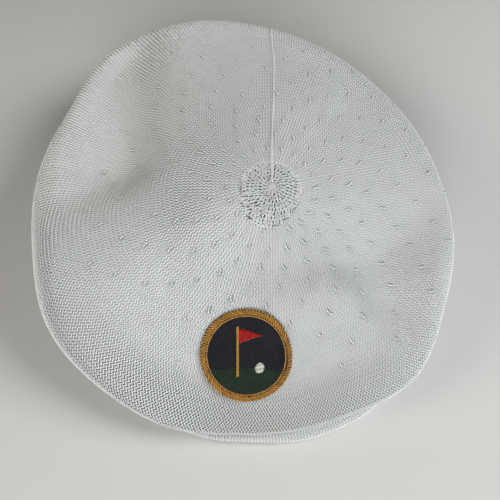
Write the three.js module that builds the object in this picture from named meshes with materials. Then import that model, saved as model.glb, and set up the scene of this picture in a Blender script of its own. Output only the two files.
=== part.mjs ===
// Golf cap: a knitted crown drawn down over a short covered peak, on a plain head band.
// Millimetres. +X is the wearer's left, +Y the back of the cap, +Z up.
// The cap lies on its band and peak, opening down, so the table is the lowest level.

import * as THREE from 'three';

// Driving sizes
const KNIT_WALL = 2.2;
const GAP = 0.3;
const TURN_STEPS = 72;
const ROWS = { top: 14, roll: 6, low: 5, under: 7 };

// The pole is where the knitting starts, the middle of the crown's top.
const POLE = { x: 13, y: 2, z: 70 };
const POLE_RISE = 8;

// Crown sections, looking from above, clockwise from the back.
// turn: degrees. reach: pole to the widest line. rim: its height above the table.
// rise and roll: how far the shoulder of the top stands over that line and back from it.
// slope: degrees that the top falls outwards where it meets the shoulder.
const CROWN_SECTIONS = [
  { turn: 0, reach: 150, rim: 60, rise: 19, roll: 24, slope: 4 },
  { turn: 20, reach: 134, rim: 58, rise: 18, roll: 22, slope: 4 },
  { turn: 40, reach: 123, rim: 54, rise: 15, roll: 19, slope: 6 },
  { turn: 60, reach: 116, rim: 50, rise: 15, roll: 17, slope: 6 },
  { turn: 80, reach: 113, rim: 45, rise: 15, roll: 15, slope: 4 },
  { turn: 100, reach: 115, rim: 40, rise: 15, roll: 14, slope: 0 },
  { turn: 120, reach: 119, rim: 32, rise: 13, roll: 13, slope: 2 },
  { turn: 140, reach: 129, rim: 20, rise: 10, roll: 12, slope: 10 },
  { turn: 160, reach: 126, rim: 11.5, rise: 6, roll: 9, slope: 20 },
  { turn: 180, reach: 130, rim: 10.5, rise: 3.8, roll: 7, slope: 24 },
  { turn: 200, reach: 137, rim: 11.5, rise: 6, roll: 9, slope: 20 },
  { turn: 220, reach: 143, rim: 20, rise: 12, roll: 13, slope: 16 },
  { turn: 240, reach: 150, rim: 30, rise: 17, roll: 18, slope: 12 },
  { turn: 260, reach: 150, rim: 36, rise: 18, roll: 20, slope: 10 },
  { turn: 280, reach: 156, rim: 42, rise: 18, roll: 22, slope: 10 },
  { turn: 300, reach: 162, rim: 49, rise: 18, roll: 23, slope: 6 },
  { turn: 320, reach: 178, rim: 55, rise: 18, roll: 23, slope: 4 },
  { turn: 340, reach: 169, rim: 59, rise: 19, roll: 24, slope: 4 },
];

// Folds and dents in the top: a smooth ridge (lift above 0) or valley (below 0) along a bent path.
// from, by, to: the path in plan. left and right: how wide it spreads, looking along the path.
const CROWN_FOLDS = [
  { name: 'left crest', from: [-124, -30], by: [-64, -8], to: [0, -8], lift: 3, left: 26, right: 34 },
  { name: 'right crest', from: [4, -8], by: [60, 2], to: [116, 24], lift: 2.6, left: 26, right: 24 },
  { name: 'front hollow', from: [6, -52], by: [40, -54], to: [70, -30], lift: -3.5, left: 18, right: 18 },
  { name: 'right hump', from: [52, -54], by: [66, -58], to: [80, -64], lift: 2.5, left: 15, right: 15 },
  { name: 'right valley', from: [97, -6], by: [102, -38], to: [93, -68], lift: -6.5, left: 17, right: 17 },
  { name: 'low valley', from: [44, -76], by: [56, -86], to: [70, -96], lift: -4, left: 16, right: 16 },
  { name: 'left valley', from: [-80, 97], by: [-72, 62], to: [-90, 8], lift: -14, left: 30, right: 27 },
  { name: 'left lobe', from: [-128, 56], by: [-120, 42], to: [-114, 28], lift: 3, left: 16, right: 16 },
  { name: 'left shoulder', from: [-112, -46], by: [-100, -58], to: [-84, -70], lift: 3, left: 22, right: 22 },
];
const FOLD_STEPS = 24;

// The underside falls from the widest line by half the rim height, at most so far.
const UNDER_DROP = { share: 0.5, less: 1.5, most: 22 };
const UNDER_ROLL = 0.8;

// Head band: an oval tube, lower at the front. half_wide and half_long are its outer half sizes.
const BAND = { x: 10, y: 12, half_wide: 82, half_long: 100, wall: 3, height: 20, front_drop: 6 };

// Peak: a flat crescent. Its front edge is an arc round x, y that runs back to a tip on each side.
const PEAK = { x: 5, y: 0, reach: 130, half_turn: 60, taper: 4.5, thick: 5.6, edge: 2.6, tip_width: 5, steps: 34 };

// Badge: a round embroidered patch low on the front.
const BADGE = { x: -2, y: -87, across: 54, thick: 1.2, lift: 0.5, rings: 4, spokes: 30 };

// Linking seam: the raised ridge that closes the knitting, straight back from the pole.
const SEAM = { width: 1.8, height: 0.9, start: 9, lift: 0.35 };

const radians = THREE.MathUtils.degToRad;
const clamp = THREE.MathUtils.clamp;

// A section at any turn: a closed Catmull-Rom curve through the rows of the table.
function sectionAt(turn) {
  const count = CROWN_SECTIONS.length;
  const place = ((((turn % 360) + 360) % 360) / 360) * count;
  const first = Math.floor(place) % count;
  const u = place - Math.floor(place);
  const near = [-1, 0, 1, 2].map((k) => CROWN_SECTIONS[(first + k + count) % count]);
  const section = {};
  for (const key of ['reach', 'rim', 'rise', 'roll', 'slope']) {
    const [a, b, c, d] = near.map((row) => row[key]);
    const bend = (2 * a - 5 * b + 4 * c - d) * u * u + (-a + 3 * b - 3 * c + d) * u ** 3;
    section[key] = 0.5 * (2 * b + (c - a) * u + bend);
  }
  return section;
}

function bezier(a, b, c, d, u) {
  const v = 1 - u;
  return v ** 3 * a + 3 * v * v * u * b + 3 * v * u * u * c + u ** 3 * d;
}

// Height that one fold adds at a point in plan.
function oneFoldLift(fold, x, y) {
  let nearest = Infinity;
  let side = 0;
  let [px, py] = fold.from;
  for (let k = 1; k <= FOLD_STEPS; k += 1) {
    const s = k / FOLD_STEPS;
    const path = [0, 1].map((i) => (1 - s) ** 2 * fold.from[i] + 2 * (1 - s) * s * fold.by[i] + s * s * fold.to[i]);
    const dx = path[0] - px;
    const dy = path[1] - py;
    const along = clamp(((x - px) * dx + (y - py) * dy) / (dx * dx + dy * dy), 0, 1);
    const ox = x - px - along * dx;
    const oy = y - py - along * dy;
    const distance = Math.hypot(ox, oy);
    if (distance < nearest) {
      nearest = distance;
      side = (dx * oy - dy * ox) / Math.hypot(dx, dy) / Math.max(distance, 1e-6);
    }
    [px, py] = path;
  }
  const spread = fold.right + (fold.left - fold.right) * (0.5 + 0.5 * side);
  return fold.lift * Math.exp(-((nearest / spread) ** 2));
}

function foldLift(x, y) {
  return CROWN_FOLDS.reduce((sum, fold) => sum + oneFoldLift(fold, x, y), 0);
}

function smooth(u) {
  return u * u * (3 - 2 * u);
}

// Height of the top's plain surface at a share u of the way from the pole to the shoulder.
function topHeight(section, turn, u) {
  const out = section.reach - section.roll;
  const shoulder = section.rim + section.rise;
  const start = out * Math.tan(radians(POLE_RISE)) * Math.cos(radians(turn));
  const end = -out * Math.tan(radians(section.slope));
  const cube = u ** 3;
  const square = u * u;
  return (2 * cube - 3 * square + 1) * POLE.z + (cube - 2 * square + u) * start
    + (3 * square - 2 * cube) * shoulder + (cube - square) * end;
}

// Distance from a centre to the band's oval, grown or shrunk by an amount.
function bandReach(centre, turn, grow) {
  const sx = Math.sin(radians(turn));
  const sy = Math.cos(radians(turn));
  const px = centre.x - BAND.x;
  const py = centre.y - BAND.y;
  const wide = BAND.half_wide + grow;
  const long = BAND.half_long + grow;
  const a = (sx / wide) ** 2 + (sy / long) ** 2;
  const b = 2 * ((px * sx) / wide ** 2 + (py * sy) / long ** 2);
  const c = (px / wide) ** 2 + (py / long) ** 2 - 1;
  return (-b + Math.sqrt(b * b - 4 * a * c)) / (2 * a);
}

// The band is lower at the front, where the crown is drawn down over the peak.
function bandTop(turn) {
  return BAND.height - BAND.front_drop * clamp(-Math.cos(radians(turn)), 0, 1) ** 2;
}

function planPoint(turn, out, z, centre = POLE) {
  return new THREE.Vector3(
    centre.x + out * Math.sin(radians(turn)),
    centre.y + out * Math.cos(radians(turn)),
    z,
  );
}

// Outer skin of the crown at one turn, from the pole over the top and back in to the head opening.
function crownProfile(turn) {
  const s = sectionAt(turn);
  const points = [];
  const shoulderOut = s.reach - s.roll;
  const shoulder = s.rim + s.rise;
  const fall = Math.tan(radians(s.slope));
  for (let i = 1; i <= ROWS.top; i += 1) {
    const u = i / ROWS.top;
    const p = planPoint(turn, u * shoulderOut, topHeight(s, turn, u));
    p.z += foldLift(p.x, p.y);
    points.push(p);
  }
  for (let i = 1; i <= ROWS.roll; i += 1) {
    const u = i / ROWS.roll;
    const out = bezier(shoulderOut, shoulderOut + 0.55 * s.roll, s.reach, s.reach, u);
    const z = bezier(shoulder, shoulder - 0.55 * s.roll * fall, s.rim + 0.55 * s.rise, s.rim, u);
    const p = planPoint(turn, out, z);
    p.z += foldLift(p.x, p.y) * smooth(1 - u);
    points.push(p);
  }
  const drop = Math.min(UNDER_DROP.most, UNDER_DROP.share * s.rim - UNDER_DROP.less);
  const back = UNDER_ROLL * s.roll;
  const lowOut = s.reach - back;
  const low = s.rim - drop;
  for (let i = 1; i <= ROWS.low; i += 1) {
    const u = i / ROWS.low;
    const out = bezier(s.reach, s.reach, lowOut + 0.55 * back, lowOut, u);
    points.push(planPoint(turn, out, bezier(s.rim, s.rim - 0.55 * drop, low, low, u)));
  }
  const edgeOut = bandReach(POLE, turn, 0);
  const edge = bandTop(turn) + GAP;
  const span = lowOut - edgeOut;
  for (let i = 1; i <= ROWS.under; i += 1) {
    const u = i / ROWS.under;
    const out = bezier(lowOut, lowOut - 0.4 * span, edgeOut + 0.25 * span, edgeOut, u);
    points.push(planPoint(turn, out, bezier(low, low, edge, edge, u)));
  }
  points.push(planPoint(turn, bandReach(POLE, turn, -BAND.wall), edge));
  return points;
}

// A mesh geometry from a list of points and triangles, shaded by its own facets.
function solidGeometry(points, triangles) {
  const geometry = new THREE.BufferGeometry();
  geometry.setAttribute('position', new THREE.Float32BufferAttribute(points.flatMap((p) => p.toArray()), 3));
  geometry.setIndex(triangles.flat());
  geometry.computeVertexNormals();
  return geometry;
}

function quad(list, a, b, c, d) {
  list.push([a, b, c], [a, c, d]);
}

function crownGeometry() {
  const poleTop = new THREE.Vector3(POLE.x, POLE.y, POLE.z + foldLift(POLE.x, POLE.y));
  const grid = [];
  for (let j = 0; j < TURN_STEPS; j += 1) {
    grid.push(crownProfile((j * 360) / TURN_STEPS));
  }
  const rows = grid[0].length;
  const at = (i, j) => (i < 0 ? poleTop : grid[(j + TURN_STEPS) % TURN_STEPS][Math.min(i, rows - 1)]);
  const inner = grid.map((profile, j) => profile.map((p, i) => {
    const along = at(i + 1, j).clone().sub(at(i - 1, j));
    const round = at(i, j + 1).clone().sub(at(i, j - 1));
    return p.clone().addScaledVector(round.cross(along).normalize(), -KNIT_WALL);
  }));
  const poleUnder = poleTop.clone().setZ(poleTop.z - KNIT_WALL);

  const points = [poleTop, ...grid.flat(), poleUnder, ...inner.flat()];
  const skin = (shell, i, j) => shell * (1 + rows * TURN_STEPS) + 1 + (j % TURN_STEPS) * rows + i;
  const triangles = [];
  for (let j = 0; j < TURN_STEPS; j += 1) {
    triangles.push([0, skin(0, 0, j + 1), skin(0, 0, j)]);
    triangles.push([skin(1, 0, 0) - 1, skin(1, 0, j), skin(1, 0, j + 1)]);
    for (let i = 0; i < rows - 1; i += 1) {
      quad(triangles, skin(0, i, j), skin(0, i, j + 1), skin(0, i + 1, j + 1), skin(0, i + 1, j));
      quad(triangles, skin(1, i, j), skin(1, i + 1, j), skin(1, i + 1, j + 1), skin(1, i, j + 1));
    }
    const last = rows - 1;
    quad(triangles, skin(0, last, j), skin(0, last, j + 1), skin(1, last, j + 1), skin(1, last, j));
  }
  return solidGeometry(points, triangles);
}

// A solid swept through loops of equal length; closed makes it a ring, else its ends are capped.
function sweptGeometry(loops, closed) {
  const sides = loops[0].length;
  const points = loops.flat();
  const triangles = [];
  const spans = closed ? loops.length : loops.length - 1;
  for (let k = 0; k < spans; k += 1) {
    const next = (k + 1) % loops.length;
    for (let i = 0; i < sides; i += 1) {
      const j = (i + 1) % sides;
      quad(triangles, k * sides + i, k * sides + j, next * sides + j, next * sides + i);
    }
  }
  if (!closed) {
    const end = (loops.length - 1) * sides;
    for (let i = 1; i < sides - 1; i += 1) {
      triangles.push([0, i + 1, i]);
      triangles.push([end, end + i, end + i + 1]);
    }
  }
  return solidGeometry(points, triangles);
}

// The band: an upright oval wall, flat below where it rests.
function bandGeometry() {
  const loops = [];
  for (let j = 0; j < TURN_STEPS; j += 1) {
    const turn = (j * 360) / TURN_STEPS;
    const outer = bandReach(POLE, turn, 0);
    const inner = bandReach(POLE, turn, -BAND.wall);
    const top = bandTop(turn);
    loops.push([
      planPoint(turn, inner, 0),
      planPoint(turn, outer, 0),
      planPoint(turn, outer, top),
      planPoint(turn, inner, top),
    ]);
  }
  return sweptGeometry(loops, true);
}

// The peak: from the band's front face out to its rounded edge, narrowing to a tip on each side.
function peakGeometry() {
  const loops = [];
  for (let k = 0; k <= PEAK.steps; k += 1) {
    const across = Math.sin((Math.PI / 2) * ((2 * k) / PEAK.steps - 1));
    const turn = 180 + PEAK.half_turn * across;
    const start = bandReach(PEAK, turn, GAP);
    const full = Math.sqrt(1 - Math.abs(across) ** PEAK.taper);
    const end = start + PEAK.tip_width + (PEAK.reach - start - PEAK.tip_width) * full;
    const round = end - PEAK.edge;
    const corner = [
      [start, 0],
      [round, 0],
      [round + 0.7 * PEAK.edge, 0.3 * PEAK.edge],
      [end, PEAK.edge],
      [end, PEAK.thick - PEAK.edge],
      [round + 0.7 * PEAK.edge, PEAK.thick - 0.3 * PEAK.edge],
      [round, PEAK.thick],
      [start, PEAK.thick],
    ];
    loops.push(corner.map(([out, z]) => planPoint(turn, out, z, PEAK)));
  }
  return sweptGeometry(loops, false);
}

// Point of the crown's top over a place in plan.
function crownTop(x, y) {
  const turn = (Math.atan2(x - POLE.x, y - POLE.y) * 180) / Math.PI;
  const section = sectionAt(turn);
  const u = Math.hypot(x - POLE.x, y - POLE.y) / (section.reach - section.roll);
  return new THREE.Vector3(x, y, topHeight(section, turn, u) + foldLift(x, y));
}

// The badge: a thin round patch that follows the crown.
function badgeGeometry() {
  const centre = crownTop(BADGE.x, BADGE.y);
  const across = crownTop(BADGE.x + 1, BADGE.y).sub(centre).normalize();
  const up = crownTop(BADGE.x, BADGE.y + 1).sub(centre).normalize();
  const normal = across.clone().cross(up).normalize();
  const place = (ring, spoke, lift) => {
    const radius = (BADGE.across / 2) * (ring / BADGE.rings);
    const angle = (2 * Math.PI * spoke) / BADGE.spokes;
    const x = BADGE.x + radius * (across.x * Math.cos(angle) + up.x * Math.sin(angle));
    const y = BADGE.y + radius * (across.y * Math.cos(angle) + up.y * Math.sin(angle));
    return crownTop(x, y).addScaledVector(normal, lift);
  };
  const points = [];
  const perSide = 1 + BADGE.rings * BADGE.spokes;
  for (const lift of [BADGE.lift + BADGE.thick, BADGE.lift]) {
    points.push(place(0, 0, lift));
    for (let ring = 1; ring <= BADGE.rings; ring += 1) {
      for (let spoke = 0; spoke < BADGE.spokes; spoke += 1) {
        points.push(place(ring, spoke, lift));
      }
    }
  }
  const index = (side, ring, spoke) => side * perSide + 1 + (ring - 1) * BADGE.spokes + (spoke % BADGE.spokes);
  const triangles = [];
  for (let spoke = 0; spoke < BADGE.spokes; spoke += 1) {
    triangles.push([0, index(0, 1, spoke), index(0, 1, spoke + 1)]);
    triangles.push([perSide, index(1, 1, spoke + 1), index(1, 1, spoke)]);
    for (let ring = 1; ring < BADGE.rings; ring += 1) {
      quad(triangles, index(0, ring, spoke), index(0, ring + 1, spoke),
        index(0, ring + 1, spoke + 1), index(0, ring, spoke + 1));
      quad(triangles, index(1, ring, spoke), index(1, ring, spoke + 1),
        index(1, ring + 1, spoke + 1), index(1, ring + 1, spoke));
    }
    quad(triangles, index(1, BADGE.rings, spoke), index(1, BADGE.rings, spoke + 1),
      index(0, BADGE.rings, spoke + 1), index(0, BADGE.rings, spoke));
  }
  return solidGeometry(points, triangles);
}

// The seam: a ridge along the back profile, from beside the pole to the head opening.
function seamGeometry() {
  const profile = crownProfile(0).slice(0, -2).filter((p) => p.y - POLE.y >= SEAM.start);
  const side = new THREE.Vector3(SEAM.width / 2, 0, 0);
  const loops = profile.map((p, i) => {
    const before = profile[Math.max(i - 1, 0)];
    const after = profile[Math.min(i + 1, profile.length - 1)];
    const normal = after.clone().sub(before).cross(side).normalize().negate();
    const foot = p.clone().addScaledVector(normal, SEAM.lift);
    const crest = foot.clone().addScaledVector(normal, SEAM.height);
    return [
      foot.clone().add(side),
      foot.clone().sub(side),
      crest.clone().addScaledVector(side, -0.5),
      crest.clone().addScaledVector(side, 0.5),
    ];
  });
  return sweptGeometry(loops, false);
}

function material(color, roughness) {
  return new THREE.MeshStandardMaterial({ color, roughness, metalness: 0, flatShading: true });
}

function piece(name, geometry, surface) {
  const mesh = new THREE.Mesh(geometry, surface);
  mesh.name = name;
  return mesh;
}

const whiteKnit = material(0xe4e4e0, 0.9);
const navyThread = material(0x1d2233, 0.6);

const cap = new THREE.Group();
cap.add(piece('crown', crownGeometry(), whiteKnit));
cap.add(piece('peak', peakGeometry(), whiteKnit));
cap.add(piece('head_band', bandGeometry(), whiteKnit));
cap.add(piece('crown_seam', seamGeometry(), whiteKnit));
cap.add(piece('badge', badgeGeometry(), navyThread));

// The middle of the cap's box stands over the origin.
const box = new THREE.Box3().setFromObject(cap);
const middle = box.getCenter(new THREE.Vector3());
cap.position.set(-middle.x, -middle.y, -box.min.z);
cap.updateMatrixWorld(true);

export default cap;
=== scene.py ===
# %% [markdown]
# A white knitted golf cap lies on a table on its head band. The solids come first, as a fixed
# frame: a crown, a short peak, a head band, a linking seam and a badge. Each of them is then
# dressed with the real thing's surface, which is almost wholly made of stitches.

# %% Load the frame
import math

import bpy
import numpy as np
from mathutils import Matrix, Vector


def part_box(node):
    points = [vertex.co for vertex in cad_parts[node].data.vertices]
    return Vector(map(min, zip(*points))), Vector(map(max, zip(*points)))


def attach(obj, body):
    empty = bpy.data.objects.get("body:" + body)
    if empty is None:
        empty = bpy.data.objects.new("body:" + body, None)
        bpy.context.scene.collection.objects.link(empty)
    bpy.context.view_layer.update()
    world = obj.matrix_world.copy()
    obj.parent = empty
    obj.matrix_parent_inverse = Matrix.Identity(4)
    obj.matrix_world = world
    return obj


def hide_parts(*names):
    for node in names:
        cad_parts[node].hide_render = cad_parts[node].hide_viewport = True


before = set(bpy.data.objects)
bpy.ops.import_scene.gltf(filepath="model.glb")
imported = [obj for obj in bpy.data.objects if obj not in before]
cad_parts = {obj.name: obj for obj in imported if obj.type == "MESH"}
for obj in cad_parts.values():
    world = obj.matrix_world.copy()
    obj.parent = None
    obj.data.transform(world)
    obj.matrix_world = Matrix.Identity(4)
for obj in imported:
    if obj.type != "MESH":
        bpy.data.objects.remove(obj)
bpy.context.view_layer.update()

print("nodes:", sorted(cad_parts))

# %% [markdown]
# The crown is one surface, so it is described once, by rules. A point on it has a turn, the angle
# round the pole where the knitting starts, and a way out along the cloth. The sections table says
# how far the crown reaches at each turn, and the folds table where it is dented or raised. A mesh
# sculpted by hand could look the same, but stitches can only follow a surface that has such rules.

# %% Named sizes of the crown, in millimetres
MM = 0.001
POLE = np.array([13.0, 2.0, 70.0])
POLE_RISE = 8.0

SECTION_COLUMNS = ("turn", "reach", "rim", "rise", "roll", "slope")
CROWN_SECTIONS = np.array([
    (0, 150, 60, 19, 24, 4),
    (20, 134, 58, 18, 22, 4),
    (40, 123, 54, 15, 19, 6),
    (60, 116, 50, 15, 17, 6),
    (80, 113, 45, 15, 15, 4),
    (100, 115, 40, 15, 14, 0),
    (120, 119, 32, 13, 13, 2),
    (140, 129, 20, 10, 12, 10),
    (160, 126, 11.5, 6, 9, 20),
    (180, 128.4, 10.8, 3.8, 7, 24),
    (200, 137, 11.5, 6, 9, 20),
    (220, 143, 20, 12, 13, 16),
    (240, 150, 30, 17, 18, 12),
    (260, 150, 36, 18, 20, 10),
    (280, 156, 42, 18, 22, 10),
    (300, 162, 49, 18, 23, 6),
    (320, 178, 55, 18, 23, 4),
    (340, 169, 59, 19, 24, 4),
], float)

# Each fold has a start, a place to bend by, an end, a lift, and a width on its left and right.
CROWN_FOLDS = {
    "left crest": ((-126, -33), (-59, 14), (-11, -12), 6.6, 38, 33),
    "right crest": ((2, -2), (61, 0), (117, 28), -1.4, 28, 27),
    "front hollow": ((-4, -38), (38, -44), (66, -26), -5.8, 30, 16),
    "right hump": ((43, -53), (63, -59), (73, -80), 4.8, 15, 20),
    "right valley": ((105, -7), (75, -32), (76, -52), -6.8, 24, 19),
    "low valley": ((35, -90), (55, -82), (65, -85), -5.4, 15, 13),
    "left valley": ((-91, 126), (-79, 63), (-81, 27), -14.2, 23, 45),
    "left lobe": ((-128, 50), (-122, 41), (-117, 20), 3.7, 14, 15),
    "left shoulder": ((-110, -45), (-97, -52), (-81, -56), 2.3, 25, 20),
}
FOLD_STEPS = 24
FRONT_TUCK, TUCK_TURN, TUCK_SPREAD = 2.2, 193.0, 10.0
CORNER_FULL, CORNER_TURN = 1.3, 14.0

UNDER_SHARE, UNDER_LESS, UNDER_MOST, UNDER_ROLL = 0.5, 1.5, 22.0, 0.8
BAND = {"x": 10, "y": 12, "half_wide": 82, "half_long": 100, "wall": 3, "height": 20, "front_drop": 6}
PEAK = {"x": 5, "y": 0, "reach": 130, "half_turn": 60, "taper": 4.5, "thick": 5.6, "tip": 5}
BADGE = {"x": -2, "y": -87, "across": 54}
GAP = 0.3
TOP_STEPS, ROLL_STEPS, LOW_STEPS, UNDER_STEPS = 60, 24, 20, 30
ROUND_HANDLE, LEAVE_HANDLE, REACH_HANDLE = 0.55, 0.4, 0.25
TINY, TOUCHING = 1e-9, 1e-6

peak_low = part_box("peak")[0]
seam_low, seam_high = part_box("crown_seam")
SHIFT = np.array([
    (seam_low[0] + seam_high[0]) / 2 / MM - POLE[0],
    peak_low[1] / MM + PEAK["reach"] - PEAK["y"],
    0.0,
])
print("the tables' origin lies at", np.round(SHIFT, 2), "mm in the frame")

# %% [markdown]
# The next functions turn the tables into points. A closed Catmull-Rom curve runs through the
# sections, so the outline has no corners. Left of the middle the front is tucked in a little, so
# that a strip of the peak shows along its whole edge. A fold is a bent path with a bell-shaped lift
# across it. The profile goes from the pole over the top, round the rolled rim and back in to the
# head opening.

# %% The crown's surface
def section_at(turn):
    """Each column of the sections at any turns, on a smooth closed curve."""
    count = len(CROWN_SECTIONS)
    place = (np.asarray(turn, float) % 360) / 360 * count
    first = np.floor(place).astype(int) % count
    u = (place - np.floor(place))[..., None]
    a, b, c, d = (CROWN_SECTIONS[(first + k) % count] for k in (-1, 0, 1, 2))
    curve = 0.5 * (2 * b + (c - a) * u + (2 * a - 5 * b + 4 * c - d) * u**2
                   + (-a + 3 * b - 3 * c + d) * u**3)
    section = {name: curve[..., k] for k, name in enumerate(SECTION_COLUMNS)}
    aside = (np.asarray(turn, float) % 360 - TUCK_TURN) / TUCK_SPREAD
    section["reach"] = section["reach"] - FRONT_TUCK * np.exp(-(aside**2))
    return section


def fold_lift(x, y):
    """Height that all the folds add over places in plan."""
    total = np.zeros(np.shape(x))
    s = np.linspace(0, 1, FOLD_STEPS + 1)[:, None]
    for start, by, end, lift, left, right in CROWN_FOLDS.values():
        start, by, end = (np.array(p, float) for p in (start, by, end))
        path = (1 - s) ** 2 * start + 2 * (1 - s) * s * by + s**2 * end
        nearest = np.full(total.shape, np.inf)
        side = np.zeros(total.shape)
        for p, q in zip(path[:-1], path[1:]):
            d = q - p
            along = np.clip(((x - p[0]) * d[0] + (y - p[1]) * d[1]) / (d @ d), 0, 1)
            ox, oy = x - p[0] - along * d[0], y - p[1] - along * d[1]
            distance = np.hypot(ox, oy)
            across = (d[0] * oy - d[1] * ox) / np.hypot(*d) / np.maximum(distance, TOUCHING)
            side = np.where(distance < nearest, across, side)
            nearest = np.minimum(distance, nearest)
        spread = right + (left - right) * (0.5 + 0.5 * side)
        total += lift * np.exp(-((nearest / spread) ** 2))
    return total


def bezier(a, b, c, d, u):
    v = 1 - u
    return v**3 * a + 3 * v * v * u * b + 3 * v * u * u * c + u**3 * d


def smooth(u):
    u = np.clip(u, 0, 1)
    return u * u * (3 - 2 * u)


def top_height(s, turn, u):
    """Height of the plain top at a share u of the way from the pole to the shoulder."""
    out = s["reach"] - s["roll"]
    rise = out * math.tan(math.radians(POLE_RISE)) * np.cos(np.radians(turn))
    fall = -out * np.tan(np.radians(s["slope"]))
    return ((2 * u**3 - 3 * u**2 + 1) * POLE[2] + (u**3 - 2 * u**2 + u) * rise
            + (3 * u**2 - 2 * u**3) * (s["rim"] + s["rise"]) + (u**3 - u**2) * fall)


def band_reach(centre, turn, grow):
    """Distance from a centre to the band's oval, grown or shrunk by an amount."""
    sx, sy = np.sin(np.radians(turn)), np.cos(np.radians(turn))
    px, py = centre[0] - BAND["x"], centre[1] - BAND["y"]
    wide, long = BAND["half_wide"] + grow, BAND["half_long"] + grow
    a = (sx / wide) ** 2 + (sy / long) ** 2
    b = 2 * (px * sx / wide**2 + py * sy / long**2)
    c = (px / wide) ** 2 + (py / long) ** 2 - 1
    return (-b + np.sqrt(b * b - 4 * a * c)) / (2 * a)


def band_top(turn):
    return BAND["height"] - BAND["front_drop"] * np.clip(-np.cos(np.radians(turn)), 0, 1) ** 2


def in_plan(centre, turn, out):
    """Places at turns and distances from a centre, seen from above."""
    return centre[0] + out * np.sin(np.radians(turn)), centre[1] + out * np.cos(np.radians(turn))


def share_of(steps):
    """Shares from 0 to 1 in a column, for the rows of a profile."""
    return np.linspace(0, 1, steps + 1)[:, None]


def crown_profile(turn):
    """Points of the crown's outer skin, as rows from the pole to the head opening by turns."""
    s = section_at(turn)
    reach, rim = s["reach"], s["rim"]
    shoulder_out, shoulder = reach - s["roll"], rim + s["rise"]
    handle, fall = ROUND_HANDLE * s["roll"], np.tan(np.radians(s["slope"]))
    back, drop = UNDER_ROLL * s["roll"], np.minimum(UNDER_MOST, UNDER_SHARE * rim - UNDER_LESS)
    low_out, low = reach - back, rim - drop
    edge_out, edge = band_reach(POLE, turn, 0), band_top(turn) + GAP
    across = low_out - edge_out
    curves = (
        (ROLL_STEPS, (shoulder_out, shoulder_out + handle, reach, reach),
         (shoulder, shoulder - handle * fall, rim + ROUND_HANDLE * s["rise"], rim)),
        (LOW_STEPS, (reach, reach, low_out + ROUND_HANDLE * back, low_out),
         (rim, rim - ROUND_HANDLE * drop, low, low)),
        (UNDER_STEPS,
         (low_out, low_out - LEAVE_HANDLE * across, edge_out + REACH_HANDLE * across, edge_out),
         (low, low, edge, edge)),
    )
    u = share_of(TOP_STEPS)
    outs, heights = [u * shoulder_out], [top_height(s, turn, u)]
    for steps, out, z in curves:
        u = share_of(steps)[1:]
        outs.append(bezier(*out, u))
        heights.append(bezier(*z, u))
    out = np.concatenate([*outs, band_reach(POLE, turn, -BAND["wall"])[None, :]])
    x, y = in_plan(POLE, turn, out)
    folded = np.zeros((len(out), 1))
    folded[:TOP_STEPS + 1] = 1
    folded[TOP_STEPS + 1:TOP_STEPS + ROLL_STEPS + 1] = smooth(1 - share_of(ROLL_STEPS)[1:])
    z = np.concatenate([*heights, edge[None, :]]) + fold_lift(x, y) * folded
    return np.stack([x, y, z], -1) + SHIFT


pole_at = crown_profile(np.array([0.0]))[0, 0]
print("the pole stands", round(pole_at[2], 1), "mm over the table")

# %% [markdown]
# Stitches are placed by distance along the cloth, because yarn doesn't stretch with the outline.
# A Cloth holds a surface as a fine grid with equal steps along each column, and answers for any
# turn and length where the point is, which way is out and which way is round. A place past the end
# of the grid is brought back just inside the last cell. The crown, the peak and the band are all
# held this way, so one set of tools can knit all three.

# %% A surface that stitches can follow
INSIDE = 1.001


def unit(v):
    return v / np.maximum(np.linalg.norm(v, axis=-1, keepdims=True), TINY)


class Cloth:
    """A surface gridded by length along each column and by turn between columns."""

    def __init__(self, turns, points, closed, step=1.0):
        self.turns, self.closed, self.step = turns, closed, step
        pace = np.linalg.norm(np.diff(points, axis=0), axis=-1)
        run = np.concatenate([np.zeros((1, points.shape[1])), np.cumsum(pace, axis=0)])
        self.length = run[-1]
        steps = np.arange(0, self.length.max() + step, step)
        grid = np.empty((len(steps), len(turns), 3))
        for j in range(len(turns)):
            for k in range(3):
                grid[:, j, k] = np.interp(steps, run[:, j], points[:, j, k])
        self.grid = grid
        along = np.gradient(grid, step, axis=0)
        past = steps[:, None] >= self.length[None, :] - 0.5 * step
        along = np.where(past[..., None], np.roll(along, 1, axis=0), along)
        if closed:
            wide = np.concatenate([grid[:, -1:], grid, grid[:, :1]], axis=1)
            round_ = (wide[:, 2:] - wide[:, :-2]) / (2 * (turns[1] - turns[0]))
        else:
            round_ = np.gradient(grid, turns, axis=1)
        self.out = unit(np.cross(round_, along))
        self.round = round_

    def at(self, turn, length):
        """Point, outward direction, round direction and millimetres per degree at each place."""
        pitch = self.turns[1] - self.turns[0]
        x = (turn - self.turns[0]) / pitch
        y = np.clip(length / self.step, 0, len(self.grid) - INSIDE)
        i, v = np.floor(y).astype(int), (y - np.floor(y))[..., None]
        if self.closed:
            j = np.floor(x).astype(int) % len(self.turns)
            k = (np.floor(x).astype(int) + 1) % len(self.turns)
        else:
            x = np.clip(x, 0, len(self.turns) - INSIDE)
            j = np.floor(x).astype(int)
            k = j + 1
        u = (x - np.floor(x))[..., None]

        def blend(field):
            low = field[i, j] * (1 - u) + field[i, k] * u
            high = field[i + 1, j] * (1 - u) + field[i + 1, k] * u
            return low * (1 - v) + high * v

        round_ = blend(self.round)
        pace = np.linalg.norm(round_, axis=-1)
        return blend(self.grid), unit(blend(self.out)), round_ / np.maximum(pace, TINY)[..., None], pace

    def reach_at(self, turn):
        return np.interp(turn, self.turns, self.length, period=360 if self.closed else None)


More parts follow.
